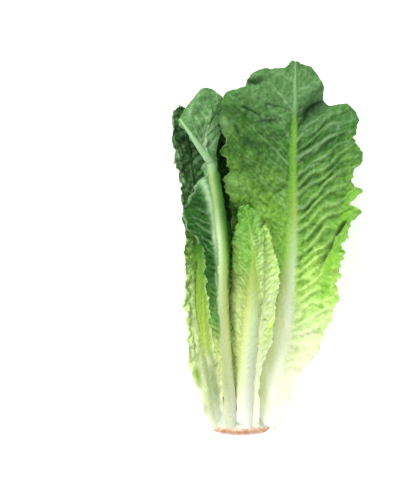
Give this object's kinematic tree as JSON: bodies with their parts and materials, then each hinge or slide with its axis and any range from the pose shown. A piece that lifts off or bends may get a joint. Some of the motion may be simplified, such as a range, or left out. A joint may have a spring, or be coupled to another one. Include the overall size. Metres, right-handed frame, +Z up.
{
  "type": "romaine heart",
  "caption": "Romaine heart lying on its back: overlapping ribbed leaves with waved edges and a hooded leaf, growing from a short stalk with a domed cut face.",
  "frame": {"origin": "middle of the base of the whole heart's bounding box, on the surface it lies on", "axes": "+Y from the cut stalk towards the leaf tips, +Z up from the surface, +X to the right of the heart seen from above with its tips away"},
  "size_m": [0.1369, 0.2716, 0.0674],
  "materials": {
    "leaf_green": "fresh leaf, dark green at the tip and nearly white at the base, faint waxy sheen",
    "leaf_outside": "matt grey-green outer face of a leaf with raised veins",
    "leaf_heart": "tender yellow-green leaf, nearly white at the base",
    "stem_cut": "cut stalk, oxidised orange-brown with darker specks"
  },
  "bodies": {
    "root": {"stem": "stem_cut", "broad_leaf": "leaf_green", "hooded_leaf": "leaf_outside", "left_leaf": "leaf_green", "heart_leaf_left": "leaf_heart", "heart_leaf_right": "leaf_heart", "heart_leaf_inner": "leaf_heart", "heart_leaf_core": "leaf_heart", "back_leaf_middle": "leaf_outside", "back_leaf_left": "leaf_outside", "back_leaf_right": "leaf_outside"}
  },
  "joints": []
}
